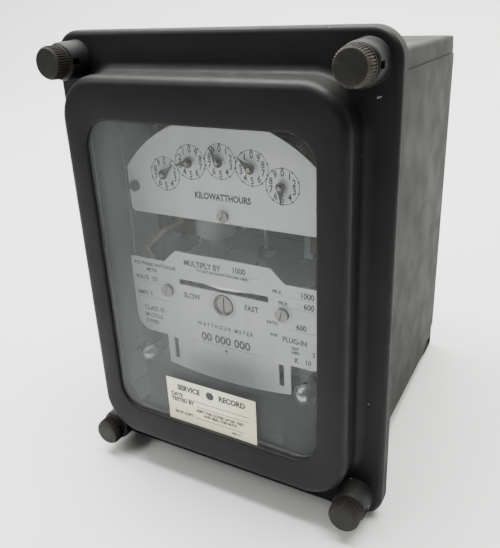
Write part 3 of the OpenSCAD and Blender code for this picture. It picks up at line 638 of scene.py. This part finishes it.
def make_name_print():
    """Generic ratings and words, each placed one by one with its x, z and height."""
    bm = bmesh.new()
    y0, y1 = NAME_Y - PRINT, NAME_Y
    disc_z = joint_place("disc_spin")[1]

    def words(text, x, z, height, align="LEFT", narrow=0.85, weight=0.09):
        add_text(bm, text, x, z, height, y0, align, narrow, weight=weight)

    def rule(x0, x1, z, width=0.14):
        add_bar(bm, x0, z, x1, z, width, y0, y1)

    words("MULTIPLY BY", -21.6, 5.1, 3.0, weight=0.15)
    words("1000", 6.0, 5.7, 3.1, weight=0.12)
    rule(0.8, 20.4, 3.5)
    words("TO GET KILOWATTHOURS USED", -14.3, 2.1, 1.25, narrow=1.1)
    add_bar(bm, 0, disc_z + 1.9, 0, disc_z + 4.0, 0.25, y0, y1)
    add_bar(bm, 0, disc_z - 1.9, 0, disc_z - 3.0, 0.25, y0, y1)
    words("SLOW", -23.2, -12.9, 2.9, weight=0.15)
    words("FAST", 12.0, -12.9, 2.9, weight=0.15)
    add_ring_line(bm, (0, disc_z - 8.2), 7.0, 0.16, y0, y1)
    for text, x, z, height in (("POLYPHASE WATTHOUR", -53.0, 0.4, 1.9), ("METER", -45.5, -2.6, 1.9),
                               ("VOLTS  120", -53.0, -7.6, 2.3), ("AMPS  5", -53.0, -16.6, 2.3),
                               ("CLASS 10", -49.5, -25.2, 2.6), ("60 CYCLE", -49.5, -29.4, 2.2),
                               ("3 WIRE", -49.5, -33.2, 2.2)):
        words(text, x, z, height, weight=0.1)
    rule(-53, -30.5, -9.8)
    rule(-53, -27.5, -18.8)
    for text, x, value, right, z in (("PRI K", 27.5, "1000", 48.5, -0.9),
                                     ("PRI R", 30.5, "600", 48.5, -6.3),
                                     ("RATIO", 24.0, "600", 44.6, -17.6)):
        words(text, x, z, 1.7)
        words(value, right, z + 0.4, 2.9, "RIGHT", weight=0.12)
        rule(35.5, 49.5, z - 1.7)
    words("BASE", 25.6, -24.0, 1.5)
    words("PLUG-IN", 32.0, -25.2, 2.8, weight=0.12)
    words("TEST", 36.5, -29.2, 1.5)
    words("AMPS", 36.5, -31.3, 1.5)
    words("5", 47.5, -30.2, 2.4, weight=0.1)
    words("K", 38.2, -35.4, 2.7, weight=0.12)
    words("10", 43.5, -35.2, 2.7, weight=0.12)
    words("W A T T H O U R   M E T E R", 0, -27.3, 2.1, "CENTER", weight=0.1)
    words("00 000 000", 0, -34.6, 4.5, "CENTER", 0.98, 0.2)
    rule(-21, 21, -38.0, 0.2)
    piece("nameplate_printing", bm, "print_ink", "cradle")


def make_label():
    """Paper label whose lower right corner lifts very slightly."""
    low, high = span("date_label")
    across, up = 26, 13
    lift, lift_from, lift_rate = 0.6, 0.82, 2.2
    bm = bmesh.new()
    sheets = []
    for face_y in (high.y, low.y):
        rows = []
        for j in range(up + 1):
            row = []
            for i in range(across + 1):
                x = low.x + (high.x - low.x) * i / across
                z = low.z + (high.z - low.z) * j / up
                corner = max(0.0, (i / across + 1 - j / up) / 2 - lift_from) * lift_rate
                row.append(bm.verts.new(Vector((x, face_y - corner * lift, z)) * MM))
            rows.append(row)
        sheets.append(rows)
    for rows in sheets:
        for j in range(up):
            for i in range(across):
                bm.faces.new((rows[j][i], rows[j][i + 1], rows[j + 1][i + 1], rows[j + 1][i]))
    back, front = sheets
    border = [(j, 0) for j in range(up)] + [(up, i) for i in range(across)]
    border += [(up - j, across) for j in range(up)] + [(0, across - i) for i in range(across)]
    for (j0, i0), (j1, i1) in zip(border, border[1:] + border[:1]):
        bm.faces.new((back[j0][i0], back[j1][i1], front[j1][i1], front[j0][i0]))
    piece("paper_label", bm, "label_paper", "cover", replaces=("date_label",))


def make_label_print():
    """Generic service record with two lines to fill in. Drops are measured from the label's top edge."""
    low, high = span("date_label")
    bm = bmesh.new()
    y0, y1 = low.y - PRINT, low.y
    left, mid, line_end = low.x + 2.2, (low.x + high.x) / 2, high.x - 4
    heading_z, heading_out, dot_r, rule = high.z - 4.7, 12.6, 2.3, 0.32
    for text, side in (("SERVICE", -1), ("RECORD", 1)):
        add_text(bm, text, mid + side * heading_out, heading_z, 3.0, y0, narrow=0.88, weight=0.2)
    add_slab(bm, [(dot_r * c, dot_r * s) for c, s in arc(28, 0, 347)], y0, y1, (mid, heading_z))
    for text, drop, start in (("DATE", 9.4, 9.0), ("TESTED BY", 12.4, 15.5)):
        add_text(bm, text, left, high.z - drop, 2.2, y0, "LEFT", 0.9, weight=0.16)
        line_z = high.z - drop - 1.2
        add_bar(bm, left + start, line_z, line_end, line_z, rule, y0, y1)
    for text, drop in (("REFIT THE COVER AFTER TEST", 15.9), ("AND SEAL THE NUTS", 18.1)):
        add_text(bm, text, mid + 5, high.z - drop, 1.5, y0, narrow=0.95, weight=0.11)
    add_text(bm, "SHOP COPY", left + 1.5, high.z - 20.0, 1.5, y0, "LEFT", 0.95, weight=0.11)
    line_z = high.z - 20.6
    add_bar(bm, left + 14, line_z, line_end, line_z, rule, y0, y1)
    add_text(bm, "KEEP WITH METER", high.x - 3, high.z - 22.9, 1.2, y0, "RIGHT", weight=0.08)
    piece("label_printing", bm, "print_ink", "cover")


def make_pointers():
    """Teardrop pointers with a raised hub and a capped shaft end."""
    hand_gap, hand_thick, hub_r = 2.4, 0.45, 2.35
    taper = [(1.4, 2.5), (0.85, 4.1), (0.42, 6.2), (0.18, 8.0)]
    outline = [(hub_r * c, hub_r * s) for c, s in arc(26, 140, 400)]
    outline += taper + [(-x, z) for x, z in reversed(taper)]
    y = DIAL_Y - hand_gap
    hub = [(1.5, y + 1.2), (1.5, y), (1.35, y - 0.35), (0.82, y - 0.4)]
    pin = [(0.86, y - 0.2), (0.86, y - 1.3), (0.6, y - 1.55), (0.1, y - 1.62)]
    for i, (dial, sense, reading) in enumerate(zip(DIALS, SENSES, READINGS), 1):
        body = f"pointer_{i}"
        bm = bmesh.new()
        add_slab(bm, outline, y, y + hand_thick, dial, sense * reading * 36)
        add_lathe(bm, hub, dial, 32)
        piece(f"pointer_{i}_hand", bm, "pointer_black", body, replaces=(body,))
        bm = bmesh.new()
        add_lathe(bm, pin, dial, 24)
        piece(f"pointer_{i}_pin", bm, "screw_steel", body)


make_dial_print()
make_name_print()
make_label()
make_label_print()
make_pointers()
for side_sheet in ("case_side_left", "case_side_right"):
    soften(side_sheet, 0.35)
soften("drag_magnet", 0.5)


# ---------- camera, floor and light ----------

def make_camera():
    """The reference view's angle and framing. Place, axes, lens and shift come from a camera that was
    fitted beforehand to corners of the meter."""
    position = Vector((0.14423, -0.22692, 0.12147))
    forward = Vector((-0.44499, 0.81374, -0.37392)).normalized()
    right = Vector((0.88356, 0.46699, -0.03522)).normalized()
    up = right.cross(forward).normalized()
    data = bpy.data.cameras.new("camera")
    data.sensor_width = 36
    data.lens = 39.51
    data.shift_x = -0.0231
    data.shift_y = -0.0472
    data.clip_start = 0.01
    camera = bpy.data.objects.new("camera", data)
    axes = Matrix((right, up, -forward)).transposed().to_4x4()
    camera.matrix_world = Matrix.Translation(position) @ axes
    bpy.context.scene.collection.objects.link(camera)
    bpy.context.scene.camera = camera


def make_stage():
    """A floor just under the flange's lower edge and the rear foot, curving up into a wall."""
    foot = span("case_back")
    rise = (foot[0].z - FLANGE_LOW.z) / foot[1].y
    gap = 0.2
    low = FLANGE_LOW.z - gap
    front_y, bend_y, bend_r, reach = -1800.0, 620.0, 350.0, 2600.0
    profile = [(front_y, 0.0), (bend_y, 0.0)]
    profile += [(bend_y + bend_r * s, bend_r * (1 - c)) for c, s in arc(16, 0, 90)][1:]
    profile += [(bend_y + bend_r, reach)]
    turn = Matrix.Translation((0, 0, low * MM)) @ Matrix.Rotation(math.atan(rise), 4, "X")
    bm = bmesh.new()
    rows = [[bm.verts.new(turn @ Vector((x * MM, y * MM, z * MM))) for x in (-reach, reach)]
            for y, z in profile]
    for a, b in zip(rows, rows[1:]):
        bm.faces.new((a[0], a[1], b[1], b[0]))
    mesh = bpy.data.meshes.new("floor")
    bm.to_mesh(mesh)
    bm.free()
    floor = bpy.data.objects.new("floor", mesh)
    bpy.context.scene.collection.objects.link(floor)
    mesh.materials.append(plain_stage("floor_paint", (0.72, 0.72, 0.7)))
    mesh.shade_smooth()


def area_light(name, at, target, size, watts):
    """A rectangular white light at one point, aimed at another."""
    data = bpy.data.lights.new(name, "AREA")
    data.shape = "RECTANGLE"
    data.size, data.size_y = size
    data.energy = watts
    light = bpy.data.objects.new(name, data)
    light.location = at
    light.rotation_euler = (Vector(target) - Vector(at)).to_track_quat("-Z", "Y").to_euler()
    bpy.context.scene.collection.objects.link(light)


def make_light():
    """Soft light from above, a key light from the left front and light on the wall behind."""
    world = bpy.data.worlds.new("studio")
    world.use_nodes = True
    background = world.node_tree.nodes["Background"]
    background.inputs["Color"].default_value = (1, 1, 1, 1)
    background.inputs["Strength"].default_value = 0.19
    bpy.context.scene.world = world
    area_light("top", (-0.45, 0.35, 1.6), (0, 0.05, 0), (1.8, 1.6), 38)
    area_light("key", (-1.1, -1.1, 1.15), (0, 0, 0), (0.9, 0.9), 20)
    area_light("backdrop", (-0.1, 0.1, 1.9), (-0.1, 1.0, 0.2), (2.2, 0.8), 150)


make_camera()
make_stage()
make_light()
